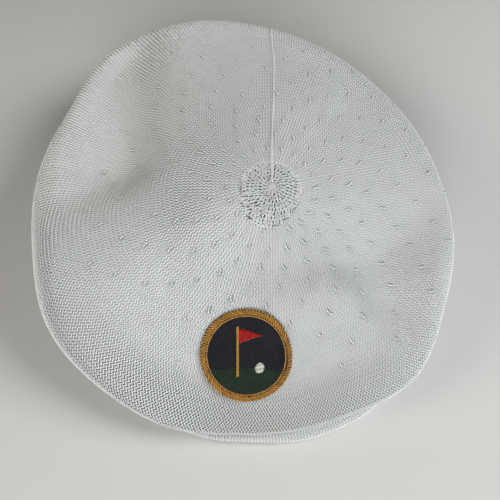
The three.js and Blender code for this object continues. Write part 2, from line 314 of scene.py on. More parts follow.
TURN_STEP = 0.5
crown_turns = np.arange(0, 360, TURN_STEP)
crown_points = crown_profile(crown_turns)
crown = Cloth(crown_turns, crown_points, closed=True)
print("cloth from pole to band:", round(crown.length.min()), "to", round(crown.length.max()), "mm")

# %% [markdown]
# Node trees are written as Python. Graph adds any node by its type, settings and inputs, and
# Signal wraps one output socket, so that a material can say `rough + fleck * share` and get its
# nodes. Nodes joined by hand give the same tree, but no text that can be read and changed.

# %% Node helpers
class Signal:
    """An output socket that takes part in sums and products."""

    def __init__(self, graph, socket):
        self.graph, self.socket = graph, socket

    def _math(self, operation, a, b):
        node = self.graph.add("ShaderNodeMath", {"operation": operation}, {0: a, 1: b})
        return Signal(self.graph, node.outputs[0])

    def __add__(self, other):
        return self._math("ADD", self, other)

    def __radd__(self, other):
        return self._math("ADD", other, self)

    def __mul__(self, other):
        return self._math("MULTIPLY", self, other)


class Graph:
    """A node tree, with one way to add a node."""

    def __init__(self, tree):
        self.tree = tree

    def add(self, kind, settings=None, inputs=None):
        node = self.tree.nodes.new(kind)
        for name, value in (settings or {}).items():
            setattr(node, name, value)
        for key, value in (inputs or {}).items():
            if isinstance(value, Signal):
                self.tree.links.new(value.socket, node.inputs[key])
            else:
                node.inputs[key].default_value = value
        return node

    def out(self, kind, settings=None, inputs=None, output=0):
        return Signal(self, self.add(kind, settings, inputs).outputs[output])


# %% [markdown]
# Yarn is matt, a little fuzzy and never quite one white. The material gives it a soft sheen, faint
# blotches a few centimetres wide, and a fine bump for the fibres. Where the knitting opens into a
# small hole the yarn lies sunk and in shade, and an attribute on the piece greys it there as painted
# shade. On the badge's threads the same attribute darkens some threads at random.

# %% Yarn
BLOTCH_SCALE, BLOTCH_SHARE = 38.0, 0.5
FLECK_SCALE, FLECK_SHARE, FLECK_ROUGH = 900.0, 0.4, 0.14
FIBRE_HIGH = 0.0002
SHEEN_ROUGH, YARN_SHINE = 0.5, 0.25


def yarn_material(name, colour, shade_and_tone_colour, rough=0.82, sheen=0.2, fibre=0.35, grain=3800.0,
                  fade=0.88):
    """A material of one colour that turns to another where the piece's attribute for painted shade and
    tone is high.
    """
    material = bpy.data.materials.new(name)
    material.use_nodes = True
    graph = Graph(material.node_tree)
    shader = material.node_tree.nodes["Principled BSDF"]
    place = graph.out("ShaderNodeTexCoord", output="Object")

    def noise(scale, detail):
        settings = {"Vector": place, "Scale": scale, "Detail": detail}
        return graph.out("ShaderNodeTexNoise", inputs=settings)

    def mix(share, first, second):
        settings = {0: share, 6: first, 7: second}
        return graph.out("ShaderNodeMix", {"data_type": "RGBA"}, settings, output=2)

    blotch, fleck, fibres = noise(BLOTCH_SCALE, 2.0), noise(FLECK_SCALE, 2.0), noise(grain, 3.0)
    # This attribute greys the yarn as painted shade, and darkens badge threads at random.
    deep = graph.out("ShaderNodeAttribute", {"attribute_name": "deep"}, output="Fac")
    dull = tuple(c * fade for c in colour[:3]) + (1.0,)
    cloth = mix(blotch * BLOTCH_SHARE + fleck * FLECK_SHARE, colour, dull)
    bump = graph.out("ShaderNodeBump", {}, {"Strength": fibre, "Distance": FIBRE_HIGH, "Height": fibres})
    varied = {"Base Color": mix(deep, cloth, shade_and_tone_colour), "Normal": bump,
              "Roughness": rough + fleck * FLECK_ROUGH}
    for label, signal in varied.items():
        material.node_tree.links.new(signal.socket, shader.inputs[label])
    even = {"Sheen Weight": sheen, "Sheen Roughness": SHEEN_ROUGH, "Specular IOR Level": YARN_SHINE}
    for label, value in even.items():
        shader.inputs[label].default_value = value
    return material


WHITE = (0.74, 0.74, 0.73, 1.0)
# Painted shade: the grey that yarn in gaps and holes is greyed towards.
PAINTED_SHADE_WHITE = (0.10, 0.10, 0.095, 1.0)
# Painted highlight: a lighter white for the marks' pulled stitches and the peak's cover, so they look
# lit.
PAINTED_LIGHT_WHITE = (0.89, 0.89, 0.88, 1.0)
# Painted highlight: a slightly lighter white for the seam's chain.
CHAIN_PAINTED_LIGHT_WHITE = (0.79, 0.79, 0.78, 1.0)
white_yarn = yarn_material("white_yarn", WHITE, PAINTED_SHADE_WHITE)
tight_yarn = yarn_material("tight_yarn", PAINTED_LIGHT_WHITE, PAINTED_SHADE_WHITE, rough=0.6, sheen=0.35, fade=0.95)
chain_yarn = yarn_material("chain_yarn", CHAIN_PAINTED_LIGHT_WHITE, PAINTED_SHADE_WHITE, rough=0.7, sheen=0.3, fade=0.92)
print("materials:", white_yarn.name, tight_yarn.name, chain_yarn.name)

# %% [markdown]
# A knitted stitch seen from outside is a V: two short legs of yarn that lean towards each other.
# In this cap the V's lie on their side, because it is knitted round and round in narrow wedges,
# so the legs of one course run out from the pole as a zigzag. The tree below builds one V from two
# spindles, puts it on every point with the point's own directions and size, and makes it real.

# %% The stitch tree
WALE = 2.65
COURSE = 1.85
YARN = 0.92
SWAY, PLUMP, TUCK = 0.85, 0.7, 0.04
SIDES, FINE_RINGS, PLAIN_RINGS = 4, 3, 2
VECTORS = ("outward", "round", "size")


def stitch_tree(name):
    tree = bpy.data.node_groups.new(name, "GeometryNodeTree")
    inputs = (("Points", "NodeSocketGeometry", None), ("Yarn", "NodeSocketFloat", YARN * MM),
              ("Wale", "NodeSocketFloat", WALE * MM), ("Course", "NodeSocketFloat", COURSE * MM),
              ("Sway", "NodeSocketFloat", SWAY), ("Plump", "NodeSocketFloat", PLUMP),
              ("Tuck", "NodeSocketFloat", TUCK), ("Rings", "NodeSocketInt", FINE_RINGS),
              ("Material", "NodeSocketMaterial", None))
    for label, kind, value in inputs:
        socket = tree.interface.new_socket(label, in_out="INPUT", socket_type=kind)
        if value is not None:
            socket.default_value = value
    tree.interface.new_socket("Stitches", in_out="OUTPUT", socket_type="NodeSocketGeometry")
    graph = Graph(tree)
    given = graph.add("NodeGroupInput")
    value = {label: Signal(graph, given.outputs[label]) for label, _, _ in inputs}

    ball = graph.out("GeometryNodeMeshUVSphere",
                     inputs={"Segments": SIDES, "Rings": value["Rings"], "Radius": 1.0})
    sway = value["Course"] * value["Sway"]
    climb = value["Wale"] * 0.5
    lean = graph.out("ShaderNodeMath", {"operation": "ARCTAN2"}, {0: sway, 1: climb})
    long = graph.out("ShaderNodeMath", {"operation": "SQRT"}, {0: sway * sway + climb * climb})
    thick = value["Yarn"] * 0.5
    shape = graph.out("ShaderNodeCombineXYZ", inputs={0: thick, 1: thick, 2: long * value["Plump"]})
    legs = []
    for way in (-1.0, 1.0):
        turned = {0: math.pi / 2 + value["Tuck"] * way, 2: lean * way}
        tilt = graph.out("ShaderNodeCombineXYZ", inputs=turned)
        move = graph.out("ShaderNodeCombineXYZ", inputs={1: value["Wale"] * 0.25 * way})
        change = {"Geometry": ball, "Scale": shape, "Rotation": tilt, "Translation": move}
        legs.append(graph.out("GeometryNodeTransform", inputs=change))
    joined = graph.add("GeometryNodeJoinGeometry")
    for leg in reversed(legs):
        tree.links.new(leg.socket, joined.inputs[0])
    stitch = Signal(graph, joined.outputs[0])

    kind = {"data_type": "FLOAT_VECTOR"}
    facing = {label: graph.out("GeometryNodeInputNamedAttribute", kind, {"Name": label})
              for label in VECTORS}
    turned = graph.out("FunctionNodeAxesToRotation", {"primary_axis": "Z", "secondary_axis": "X"},
                       {0: facing["outward"], 1: facing["round"]})
    placed = graph.out("GeometryNodeInstanceOnPoints",
                       inputs={"Points": value["Points"], "Instance": stitch, "Rotation": turned,
                               "Scale": facing["size"]})
    real = graph.out("GeometryNodeRealizeInstances", inputs={0: placed})
    softened = graph.out("GeometryNodeSetShadeSmooth", inputs={0: real})
    dressed = graph.out("GeometryNodeSetMaterial",
                        inputs={"Geometry": softened, "Material": value["Material"]})
    result = graph.add("NodeGroupOutput")
    tree.links.new(dressed.socket, result.inputs[0])
    return tree


knitting = stitch_tree("knitting")
print("stitch tree:", len(knitting.nodes), "nodes")

# %% [markdown]
# A table of stitches becomes a cloud of points with attributes, and the tree turns it into yarn.
# The result is copied out as a plain mesh. It also gets a map for baked textures in which every
# face has its own small cell, because unwrapping a hundred thousand faces would take very long.
# The walls behind the stitches and the badge's cloth are plain meshes with the same map.

# %% From a table of stitches to a mesh
CELL_MARGIN = 0.12
IN_MILLIMETRES = ("yarn", "wale", "course")
SWING, ASTRAY, UNEVEN_YARN = 0.05, 0.06, 0.05


def put_in_scene(name, data):
    thing = bpy.data.objects.new(name, data)
    bpy.context.scene.collection.objects.link(thing)
    return thing


def add_piece(name, mesh, stands_for):
    piece = put_in_scene(name, mesh)
    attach(piece, "root")
    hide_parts(stands_for)
    return piece


def cell_map(mesh):
    """A texture map that gives each face a cell of its own."""
    start = np.empty(len(mesh.polygons), int)
    total = np.empty(len(mesh.polygons), int)
    mesh.polygons.foreach_get("loop_start", start)
    mesh.polygons.foreach_get("loop_total", total)
    across = math.ceil(math.sqrt(len(start)))
    face = np.repeat(np.arange(len(start)), total)
    corner = np.arange(len(face)) - np.repeat(start, total)
    angle = 2 * math.pi * (corner + 0.5) / np.repeat(total, total)
    spot = 0.5 + (0.5 - CELL_MARGIN) * np.stack([np.cos(angle), np.sin(angle)], -1)
    cell = np.stack([face % across, face // across], -1)
    layer = mesh.uv_layers.new(name="OFBake")
    layer.uv.foreach_set("vector", ((cell + spot) / across).astype(np.float32).ravel())


def add_column(mesh, label, kind, values):
    """Gives each point of a mesh a named number or vector."""
    layer = mesh.attributes.new(label, kind, "POINT")
    layer.data.foreach_set("value" if kind == "FLOAT" else "vector", values.astype(np.float32).ravel())


def knit(name, table, slot="white_knit", stands_for="crown", material=white_yarn, **sizes):
    """A piece made of the stitches in a table of points, directions, sizes and painted shade."""
    points = bpy.data.meshes.new(name + "_points")
    points.from_pydata((table["point"] * MM).tolist(), [], [])
    for label in VECTORS:
        add_column(points, label, "FLOAT_VECTOR", table[label])
    add_column(points, "deep", "FLOAT", table["deep"])
    cloud = put_in_scene(name + "_points", points)
    modifier = cloud.modifiers.new("knitting", "NODES")
    modifier.node_group = knitting
    given = {"Material": material}
    for label, size in sizes.items():
        given[label.capitalize()] = size * MM if label in IN_MILLIMETRES else size
    for item in knitting.interface.items_tree:
        if item.name in given:
            modifier[item.identifier] = given[item.name]
    seen = cloud.evaluated_get(bpy.context.evaluated_depsgraph_get())
    mesh = bpy.data.meshes.new_from_object(seen)
    bpy.data.objects.remove(cloud)
    mesh.name = name
    for label in VECTORS:
        if label in mesh.attributes:
            mesh.attributes.remove(mesh.attributes[label])
    cell_map(mesh)
    triangles = sum(p.loop_total - 2 for p in mesh.polygons)
    print(f"{name}: {len(table['point'])} stitches, {triangles} triangles")
    return add_piece(name, mesh, stands_for)


def plain_piece(name, vertices, faces, deep, material=white_yarn, stands_for="crown"):
    """A piece made of plain faces, with one amount of painted shade or one for each point."""
    mesh = bpy.data.meshes.new(name)
    mesh.from_pydata((vertices * MM).tolist(), [], faces)
    mesh.shade_smooth()
    add_column(mesh, "deep", "FLOAT", np.ones(len(vertices)) * deep)
    mesh.materials.append(material)
    cell_map(mesh)
    print(f"{name}: {len(faces)} faces")
    return add_piece(name, mesh, stands_for)


def tube_faces(count, sides, closed):
    """Faces from each section to the next, and from the last to the first if closed."""
    faces = []
    for j in range(count if closed else count - 1):
        n = (j + 1) % count
        for i in range(sides):
            k = (i + 1) % sides
            faces.append((j * sides + i, n * sides + i, n * sides + k, j * sides + k))
    return faces


def each(value, count):
    return np.broadcast_to(value, (count,))


def table_of(cloth, turn, length, wide, sunk, seed, thick=1.0):
    """Stitches at turns and lengths. wide is each one's share of a turn in degrees."""
    rng = np.random.default_rng(seed)
    count = len(turn)
    point, outward, round_, pace = cloth.at(turn, length)
    jitter = rng.normal(0, 1, (count, 3))
    along = np.cross(outward, round_)
    angle = SWING * jitter[:, 0:1]
    round_ = unit(round_ * np.cos(angle) + along * np.sin(angle))
    point = point + along * (ASTRAY * jitter[:, 1:2]) - outward * each(sunk, count)[:, None]
    fat = each(thick, count) * (1 + UNEVEN_YARN * jitter[:, 2])
    size = np.stack([wide * pace / COURSE, np.ones(count), fat], -1)
    return {"point": point, "outward": outward, "round": round_, "size": size, "deep": np.zeros(count)}


def some(table, keep):
    return {label: column[keep] for label, column in table.items()}

# %% [markdown]
# The crown is knitted in 20 wedges. Each starts with two courses at the pole and gets two more at
# every ring of fashion marks, so the courses stay about 2 mm wide as the circle grows. Each ring
# of marks sits a little further round its wedge than the last, which gives the eye its spiral.

# %% Courses of a wedge
WEDGES = 20
WEDGE_TURN = 360 / WEDGES
FIRST_RING, RING_STEP, RING_COUNT = 15.6, 10.9, 10
FIRST_PLACE, RING_SHIFT = 0.3, 0.38
NEW_WIDE, SPREAD_OUT = 0.3, 9.0
PAIR, JUST_BEFORE = 2, 0.01


def wedge_courses():
    """Where each course starts, in order round the wedge."""
    starts = [0.0] * PAIR
    for ring in range(RING_COUNT):
        length = FIRST_RING + RING_STEP * ring
        place = (FIRST_PLACE + RING_SHIFT * ring) % 1
        index = min(len(starts) - 1, max(1, round(place * len(starts))))
        starts[index:index] = [length] * PAIR
    return np.array(starts)


course_starts = wedge_courses()


def course_widths(length):
    """Share of the wedge that each course fills at a length, 0 before it starts."""
    grown = NEW_WIDE + (1 - NEW_WIDE) * smooth((length - course_starts) / SPREAD_OUT)
    grown = np.where(course_starts <= 0, 1.0, grown)
    width = np.where(length + JUST_BEFORE >= course_starts, grown, 0.0)
    return width / width.sum()


def mark_places():
    """Length and share of the wedge of every ring's mark."""
    places = []
    for ring in range(RING_COUNT):
        length = FIRST_RING + RING_STEP * ring
        edge = np.concatenate([[0], np.cumsum(course_widths(length))])
        first_new = np.flatnonzero(np.isclose(course_starts, length))[0]
        places.append((length, edge[first_new + 1]))
    return places


marks = mark_places()
print(len(course_starts), "courses in a wedge,", len(marks) * WEDGES, "fashion marks")

# %% [markdown]
# Three things change from place to place. Over the front rim, along the left crest and near the
# pole the cloth is stretched, so its stitches stand out, and a table says where and how much. Far
# back on the left they hardly zigzag, and their courses run out as almost straight lines. Round
# the pole so few courses meet that the cloth opens into lace.

# %% Relief and lace
LACE_FROM, LACE_TO, LACE_FRONT = 3.2, 16.5, 8.0
LACE_FADE, LACE_GAP = 1.5, WALE * 0.3
FRONT_TURN, LACE_SPREAD = 195.0, 45.0
CALM_TURN, CALM_SPREAD = 295.0, 40.0
CALM_FROM, CALM_FADE, CALM_SWAY = 60.0, 30.0, 0.45
PLAIN_RELIEF, MOST_RELIEF, CALM_LESS = 0.38, 1.6, 0.19
RELIEF_FADE = 22.0
PAST_END = 400
# Each patch has a middle turn, a spread, a first and a last length, and the relief it adds.
RELIEF_PATCHES = {
    "front rim": (188, 44, 112, PAST_END, 1.15),
    "left crest": (254, 16, 30, PAST_END, 0.4),
    "left of the pole": (272, 34, 8, 55, 0.38),
    "behind the pole": (345, 45, 20, 95, 0.2),
    "right of the pole": (75, 40, 15, 80, 0.12),
}


def bell(value, middle, spread):
    return np.exp(-(((value - middle) / spread) ** 2))


def round_bell(turn, middle, spread):
    """A bell over turns, which go round."""
    return bell((turn - middle + 180) % 360, 180, spread)


def calmness(turn, length):
    """How straight and close the stitches lie, far back on the left."""
    return round_bell(turn, CALM_TURN, CALM_SPREAD) * smooth((length - CALM_FROM) / CALM_FADE)


def relief(turn, length):
    """How far the stitches stand out, from 0 where they lie close to more than 1 over the front rim."""
    total = PLAIN_RELIEF - CALM_LESS * calmness(turn, length)
    for middle, spread, first, last, more in RELIEF_PATCHES.values():
        between = smooth((length - first) / RELIEF_FADE) * (1 - smooth((length - last) / RELIEF_FADE))
        total = total + more * round_bell(turn, middle, spread) * between
    return np.clip(total, 0, MOST_RELIEF)


def lace_edge(turn):
    """Length at which the lace ends. It reaches further towards the front."""
    return LACE_TO + LACE_FRONT * bell(turn, FRONT_TURN, LACE_SPREAD)


def lace_share(turn, length):
    """1 where the cloth is open round the pole, 0 elsewhere."""
    begun = smooth((length - LACE_FROM) / LACE_FADE)
    return begun * (1 - smooth((length - lace_edge(turn)) / LACE_FADE))


print("relief on the flat top:", relief(20.0, 80.0).round(2))
print("relief over the front rim:", relief(195.0, 135.0).round(2))

# %% [markdown]
# Now every stitch of the crown has its place: ring by ring out from the lace, over the rim and in
# underneath, until it meets the band. The rings are cut into pieces, so that none is too big, and
# the zigzag grows wider from piece to piece. The quiet patch far back on the left is a piece of its
# own with almost no zigzag, and stitches from both sides mix at its edge, so that no line shows.
# The underside is seen less, so its spindles have fewer faces.

# %% Knit the crown
END_SPARE, FIRST_SHARE = 2.5, 0.4
PLAIN_THICK, BOLD_THINNER, QUIET_THICKER = 1.1, 0.12, 0.12
PLAIN_SUNK, BOLD_HIGHER, QUIET_DEEPER = 0.46, 0.16, 0.1
TOP_END, OUTER_END, PAST_RIM = 90, 126, 9
QUIET_EDGE, EDGE_MIX = 0.5, 0.15
CUTS = {
    "crown_top": (0, TOP_END, 0.72),
    "crown_outer": (TOP_END, OUTER_END, 0.8),
    "crown_rim": (OUTER_END, PAST_END, 0.95),
}


def ring_stitches(first, last, step):
    """Turn, length and width of the stitches of every ring between two lengths."""
    turns, lengths, widths = [], [], []
    for ring in np.arange(first, last, step):
        width = course_widths(ring)
        width = width[width > 0]
        middle = np.cumsum(width) - width / 2
        turns.append(((np.arange(WEDGES)[:, None] + middle[None, :]) * WEDGE_TURN).ravel())
        lengths.append(np.full(len(turns[-1]), ring))
        widths.append(np.tile(width, WEDGES) * WEDGE_TURN)
    turn, length, wide = np.concatenate(turns), np.concatenate(lengths), np.concatenate(widths)
    held = (length < crown.reach_at(turn) - END_SPARE) & (length > lace_edge(turn) + LACE_GAP)
    return turn[held], length[held], wide[held]


turn, length, wide = ring_stitches(LACE_TO + WALE * FIRST_SHARE, crown.length.max(), WALE)
bold = relief(turn, length)
quiet = calmness(turn, length)
thick = PLAIN_THICK - BOLD_THINNER * bold + QUIET_THICKER * quiet
sunk = PLAIN_SUNK - BOLD_HIGHER * bold + QUIET_DEEPER * quiet
stitches = table_of(crown, turn, length, wide, sunk, seed=4, thick=thick)
to_rim = np.linalg.norm(np.diff(crown_points[:TOP_STEPS + ROLL_STEPS + 1], axis=0), axis=-1).sum(0)
rim_length = np.interp(turn, crown_turns, to_rim, period=360)
hidden = (length >= OUTER_END) & (length >= rim_length + PAST_RIM)
blend = QUIET_EDGE + EDGE_MIX * np.random.default_rng(8).normal(0, 1, len(turn))
calm = ~hidden & (quiet > blend)
for name, (first, last, sway) in CUTS.items():
    knit(name, some(stitches, (length >= first) & (length < last) & ~hidden & ~calm), sway=sway)
knit("crown_calm", some(stitches, calm), sway=CALM_SWAY)
knit("crown_under", some(stitches, hidden), rings=PLAIN_RINGS)

# %% [markdown]
# Behind the stitches lies the body of the cloth: the crossing loops that close the gaps and make
# the wall 2 mm thick. It is a shell with an outer skin just under the stitches and an inner skin
# that is what a hand feels inside, closed at the head opening.

# %% The crown's wall
WALL_TURNS, WALL_STEP = 180, 3.2
WALL_FROM, WALL_SPARE = 0.6, 0.9
SKIN_SUNK, PIT_SUNK, WALL = 0.7, 1.1, 2.3
PLAIN_SHADE, RELIEF_SHADE, PIT_SHADE = 0.05, 0.5, 0.78


def shell_faces(rows, columns):
    """Faces of a wall between two grids, joined at the last row and capped at the first."""
    inner, last = rows * columns, (rows - 1) * columns
    back = tube_faces(rows, columns, closed=False)
    faces = [(a, b, c, d) for a, d, c, b in back]
    faces += [tuple(inner + corner for corner in face) for face in back]
    for j in range(columns):
        a, b = last + j, last + (j + 1) % columns
        faces.append((a, b, inner + b, inner + a))
    return faces + [tuple(range(columns - 1, -1, -1)), tuple(inner + j for j in range(columns))]


wall_turns = np.arange(WALL_TURNS) * 360 / WALL_TURNS
share = np.linspace(0, 1, int(crown.length.max() / WALL_STEP))[:, None]
wall_lengths = WALL_FROM + share * (crown.reach_at(wall_turns)[None, :] - WALL_SPARE)
flat_turns = np.broadcast_to(wall_turns, wall_lengths.shape).ravel()
flat_lengths = wall_lengths.ravel()
point, outward, _, _ = crown.at(flat_turns, flat_lengths)
pit = lace_share(flat_turns, flat_lengths)
# The outer skin is greyed as painted shade: a little everywhere, more where the stitches stand out, most
# in the lace's pits.
shade = PLAIN_SHADE + RELIEF_SHADE * relief(flat_turns, flat_lengths)
skin = point - outward * (SKIN_SUNK + PIT_SUNK * pit)[:, None]
lining = point - outward * WALL
plain_piece("crown_wall", np.concatenate([skin, lining]), shell_faces(*wall_lengths.shape),
            np.concatenate([shade * (1 - pit) + PIT_SHADE * pit, np.zeros(len(pit))]))

# %% [markdown]
# In the lace the courses stand apart. Each ring has as many columns as fit, each column is a thick
# and a thin strand that lean a little, and a bar crosses from one column to the next where two
# rings meet. What is left open is a crowd of narrow eyelets. Some are half closed by a stray strand,
# and more so towards the edge. In the middle a rosette of short strands covers the pole.

# %% The lace and the rosette
STRAND = {"sway": 0.0, "tuck": 0.0, "plump": 0.62}
PLAIN_LONG = WALE * 1.12


def strands(point, outward, way, long, thick, wide=None, seed=2, uneven=0.1, deep=0.0):
    """A table of single strands: each lies along its own way, long and thick times the plain one, and
    greyed by an amount of painted shade and tone.
    """
    rng = np.random.default_rng(seed)
    count = len(point)
    long = each(long, count) * (1 + uneven * rng.normal(0, 1, count))
    thick = each(thick, count) * (1 + 0.5 * uneven * rng.normal(0, 1, count))
    size = np.stack([thick if wide is None else each(wide, count), long, thick], -1)
    return {"point": point, "outward": outward, "round": unit(np.cross(way, outward)),
            "size": size, "deep": each(deep, count) * 1.0}


def lay_strands(name, turn, length, lift, lean, long, thick, look=STRAND, stands_for="crown", **table):
    """A piece of strands on the crown, each lifted off it and leaning from the way along."""
    point, outward, round_, _ = crown.at(turn, length)
    lean = each(lean, len(point))[:, None]
    way = np.cross(outward, round_) * np.cos(lean) + round_ * np.sin(lean)
    rows = strands(point + outward * lift, outward, way, long, thick, **table)
    knit(name, rows, stands_for=stands_for, **look)


FIRST_LACE, LACE_PITCH, EYELET_PITCH = 4.6, 2.45, 2.15
LACE_UNEVEN, NEAR_EDGE = 0.14, 7
FEW_STRAYS, MORE_STRAYS = 0.15, 0.55
random = np.random.default_rng(12)
turns, lengths, wides = [], [], []
for ring in np.arange(FIRST_LACE, LACE_TO + LACE_FRONT, LACE_PITCH):
    count = round(2 * math.pi * ring / EYELET_PITCH)
    turns.append((np.arange(count) + random.uniform()) * 360 / count % 360)
    lengths.append(np.full(count, ring))
    wides.append(np.full(count, 360 / count))
lace_turn, lace_length, lace_wide = (np.concatenate(field) for field in (turns, lengths, wides))
inside = lace_length < lace_edge(lace_turn) + LACE_GAP
lace_turn, lace_length, lace_wide = lace_turn[inside], lace_length[inside], lace_wide[inside]
count = len(lace_turn)
near_edge = smooth((lace_length - lace_edge(lace_turn) + NEAR_EDGE) / NEAR_EDGE)
draws = random.normal(0, 1, (5, count))
stray = random.uniform(size=count) < FEW_STRAYS + MORE_STRAYS * near_edge
every = np.ones(count, bool)

# Each has its place across and along and its lean, all three as a middle, a spread and the row of
# draws that varies them, then how long and thick it is, its lift, its seed and where it is laid.
LACE_STRANDS = {
    "lace_thick": ((0.0, 0.04, 0), (0.0, 0.2, 1), (0.16, 0.12, 2), 2.9, 1.12, -0.45, 31, every),
    "lace_thin": ((0.35, 0.04, 1), (0.0, 0.25, 3), (0.08, 0.12, 4), 2.8, 0.85, -0.5, 32, every),
    "lace_bars": ((0.68, 0.05, 3), (1.2, 0.25, 4), (1.15, 0.3, 0), 1.9, 1.0, -0.5, 33, every),
    "lace_strays": ((0.72, 0.07, 2), (0.0, 0.3, 0), (0.1, 0.2, 3), 2.3, 0.8, -0.85, 34, stray),
}
for name, (*places, long, thick, lift, seed, held) in LACE_STRANDS.items():
    across, along, lean = (middle + spread * draws[row] for middle, spread, row in places)
    lay_strands(name, (lace_turn + across * lace_wide)[held], (lace_length + along)[held], lift,
                lean[held], long / PLAIN_LONG, thick, seed=seed, uneven=LACE_UNEVEN)

PETALS, PETAL_AT, PETAL_ASTRAY, PETAL_LIFT = 13, 1.7, 0.2, -0.3
PETAL_LEAN, PETAL_LONG, PETAL_THICK = 0.35, 3.4, 0.9
petal_length = PETAL_AT + PETAL_ASTRAY * random.normal(0, 1, PETALS)
lay_strands("rosette", np.arange(PETALS) * 360 / PETALS, petal_length, PETAL_LIFT,
            PETAL_LEAN, PETAL_LONG / PLAIN_LONG, PETAL_THICK)
print(count, "columns of lace,", stray.sum(), "stray strands")

# %% [markdown]
# A fashion mark is where a row of knitting turned back. What shows is one stitch pulled tight, that
# stands up and catches the light, with a thin bent slit along one side of it and a short one at its
# far end. So each mark is three small V's a fraction of a stitch apart: the stitch in a lighter yarn,
# a painted highlight, and two dark ones laid on the cloth where the slits are, painted shadow.

# %% Fashion marks
MARK_END, FRONT_END, FRONT_SPREAD = 122.0, 98.0, 40.0
FRONT_SHARE, PAST_LACE = 0.45, 4
SLIT_LEAN, LEAN_SPREAD, MARK_UNEVEN = math.radians(-20), 0.15, 0.28
wedge = np.arange(WEDGES)
mark_turn = np.concatenate([(wedge + place) * WEDGE_TURN for _, place in marks])
mark_length = np.repeat([ring for ring, _ in marks], WEDGES)
in_front = bell(mark_turn, FRONT_TURN, FRONT_SPREAD) > FRONT_SHARE
shown = mark_length < np.where(in_front, FRONT_END, MARK_END)
shown &= mark_length > lace_edge(mark_turn) + PAST_LACE
mark_turn, mark_length = mark_turn[shown], mark_length[shown]
lean = SLIT_LEAN + LEAN_SPREAD * random.normal(0, 1, len(mark_turn))
mark_pace = crown.at(mark_turn, mark_length)[3]
BENT = {"wale": 2.4, "tuck": 0.0, "plump": 0.62}

# Each is moved across, along and out, has a length, is turned further, and has an amount of painted
# shade, a sway, a yarn and a material.
MARK_PARTS = {
    "mark_slits": (-0.55, 0.0, 0.16, 1.15, 0.0, 0.68, 0.34, 0.48, white_yarn),
    "mark_ends": (1.0, 1.1, 0.14, 0.5, 0.5, 0.6, 0.2, 0.44, white_yarn),
    "mark_stitches": (0.25, 0.3, 0.38, 1.0, 0.12, 0.0, 0.34, 0.78, tight_yarn),
}
for name, (across, along, lift, long, turned, deep, sway, yarn, material) in MARK_PARTS.items():
    look = {**BENT, "sway": sway, "yarn": yarn, "material": material}
    lay_strands(name, mark_turn + across / mark_pace, mark_length + along, lift, lean + turned, long,
                1.0, look, wide=1.0, uneven=MARK_UNEVEN, deep=deep)

# %% [markdown]
# The linking seam closes the knitting: a fine row of chain stitches from the pole straight back
# over the rim to the band. Its V's point outwards, so the same tree knits it, turned by a
# quarter. Its yarn is a lighter white, a painted highlight. Along its left side the needle holes
# show as a dotted line of small dark strands laid on the cloth, painted shade.

# %% The linking seam
SEAM_FROM, SEAM_SPARE = 4.5, 4
SEAM_BEND, BEND_FROM, BEND_OVER = 2.0, 5, 60
BACK_SHARE, BACK_FROM, BACK_OVER = 0.5, 95, 30
SEAM_PITCH, SEAM_WIDE, SEAM_YARN, SEAM_SWAY, SEAM_SUNK = 2.1, 0.8, 0.76, 0.9, 0.05
HOLE_ASIDE, HOLE_LIFT, HOLE_LEAN = 1.35, 0.12, 0.5
# The needle holes are small dark strands laid on the cloth: painted shade.
HOLE_LONG, HOLE_THICK, HOLE_PAINTED_SHADE = 0.26, 0.5, 0.6


def seam_turn(length):
    """The seam isn't quite straight: it bends aside on the top, and half way back near the rim."""
    aside = SEAM_BEND * smooth((length - BEND_FROM) / BEND_OVER)
    return aside * (1 - BACK_SHARE * smooth((length - BACK_FROM) / BACK_OVER))


seam_length = np.arange(SEAM_FROM, crown.length[0] - SEAM_SPARE, SEAM_PITCH)
point, outward, round_, pace = crown.at(seam_turn(seam_length), seam_length)
chain = {"point": point - outward * SEAM_SUNK, "outward": outward, "round": np.cross(outward, round_),
         "size": np.ones((len(seam_length), 3)), "deep": np.zeros(len(seam_length))}
knit("seam_chain", chain, stands_for="crown_seam", wale=SEAM_WIDE, course=SEAM_PITCH,
     yarn=SEAM_YARN, sway=SEAM_SWAY, material=chain_yarn)
lay_strands("seam_holes", seam_turn(seam_length) - HOLE_ASIDE / pace, seam_length, HOLE_LIFT,
            HOLE_LEAN, HOLE_LONG, HOLE_THICK, stands_for="crown_seam", deep=HOLE_PAINTED_SHADE)

# %% [markdown]
# The peak is a stiff board in a knitted cover of the same stitch. The board is a closed crescent
# with a round edge, a little thinner than the solid, and the cover's stitches go over its top,
# round its edge and back underneath. The cover is fuller than the board towards both corners.

# %% The peak
PEAK_MIDDLE = (PEAK["x"], PEAK["y"])
PEAK_TURN, PEAK_STEP, FLAT_POINTS, BEND_POINTS = 180, 0.5, 16, 14
CORNER_BEND, CORNERS_FROM, LAST_ACROSS = 1.1, 181, 0.998
COVER_INSET, COVER_SUNK, COVER_WIDEST = 0.65, 0.2, 1.25
COVER_FROM, COVER_SPARE, SIDE_SPARE = 1.5, 1.0, 0.6
BOARD_INSET, BOARD_SHADE = 1.0, 0.25
COURSE_TURN = math.degrees(COURSE / PEAK["reach"])


